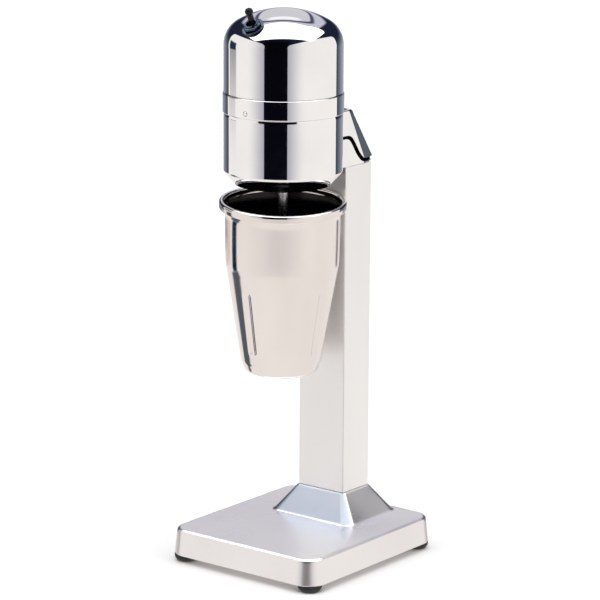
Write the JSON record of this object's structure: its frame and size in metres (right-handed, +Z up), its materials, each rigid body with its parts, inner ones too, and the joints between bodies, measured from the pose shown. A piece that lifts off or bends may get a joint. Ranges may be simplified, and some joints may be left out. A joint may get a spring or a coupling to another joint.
{
  "type": "milkshake mixer",
  "caption": "Upright drinks mixer: heavy flat base, rectangular column, round motor head with a toggle switch, and a tapered metal cup hung under a spinning agitator.",
  "frame": {"origin": "on the surface the feet stand on, under the middle of the base", "axes": "+Z up, -Y towards the user (cup and switch side), +X to the user's right"},
  "size_m": [0.163, 0.181, 0.4964],
  "materials": {
    "chrome": "mirror-bright chrome plate",
    "polished_steel": "polished stainless steel",
    "satin_aluminium": "satin anodised extrusion",
    "cast_aluminium": "polished casting",
    "zinc_steel": "zinc plated fasteners and ground bearing steel",
    "rubber": "black moulded rubber",
    "black_plastic": "black phenolic",
    "lamination": "varnished electrical steel sheets",
    "copper": "enamelled copper",
    "carbon": "pressed carbon",
    "brass": "pressed brass",
    "fan_plastic": "natural nylon"
  },
  "bodies": {
    "frame": {"motor_housing": "chrome", "trim_band": "chrome", "dome_cover": "chrome", "neck_casting": "chrome", "switch_bushing": "chrome", "switch_nut": "chrome", "band_screw": "chrome", "cup_holder": "polished_steel", "column_tube": "satin_aluminium", "base_casting": "cast_aluminium", "upper_bracket": "cast_aluminium", "foot_screw_front_left": "zinc_steel", "foot_screw_front_right": "zinc_steel", "foot_screw_rear_left": "zinc_steel", "foot_screw_rear_right": "zinc_steel", "tie_rod": "zinc_steel", "tie_rod_washer": "zinc_steel", "tie_rod_nut": "zinc_steel", "cup_holder_screw_left": "zinc_steel", "cup_holder_screw_right": "zinc_steel", "neck_screw_lower": "zinc_steel", "neck_screw_upper": "zinc_steel", "lower_bearing": "zinc_steel", "upper_bearing": "zinc_steel", "motor_bolt_front": "zinc_steel", "motor_bolt_rear": "zinc_steel", "motor_spacer_front": "zinc_steel", "motor_spacer_rear": "zinc_steel", "brush_spring_left": "zinc_steel", "brush_spring_right": "zinc_steel", "switch_washer": "zinc_steel", "foot_front_left": "rubber", "foot_front_right": "rubber", "foot_rear_left": "rubber", "foot_rear_right": "rubber", "cable_grommet": "rubber", "cup_rest_pad": "rubber", "splash_seal": "rubber", "switch_body": "black_plastic", "suppressor_capacitor": "black_plastic", "supply_lead": "black_plastic", "stator_core": "lamination", "field_coil_left": "copper", "field_coil_right": "copper", "carbon_brush_left": "carbon", "carbon_brush_right": "carbon", "brush_holder_left": "brass", "brush_holder_right": "brass"},
    "rotor": {"armature_shaft": "zinc_steel", "armature_core": "lamination", "armature_winding_lower": "copper", "armature_winding_upper": "copper", "commutator": "copper", "cooling_fan": "fan_plastic", "agitator_shaft": "polished_steel", "agitator_disc": "polished_steel", "agitator_nut": "polished_steel"},
    "switch_lever": {"toggle_lever": "black_plastic"},
    "cup": {"mixing_cup": "polished_steel"}
  },
  "joints": [
    {"name": "agitator_spin", "type": "hinge", "parent": "frame", "child": "rotor", "pos_m": [0, -0.0296, 0.4], "axis": [0, 0, 1], "continuous": true},
    {"name": "switch_throw", "type": "hinge", "parent": "frame", "child": "switch_lever", "pos_m": [0, -0.06938, 0.47641], "axis": [1, 0, 0], "range_deg": [0, 27]},
    {"name": "cup_lift", "type": "slide", "parent": "frame", "child": "cup", "axis": [0, 0, 1], "range_m": [0, 0.008]}
  ]
}
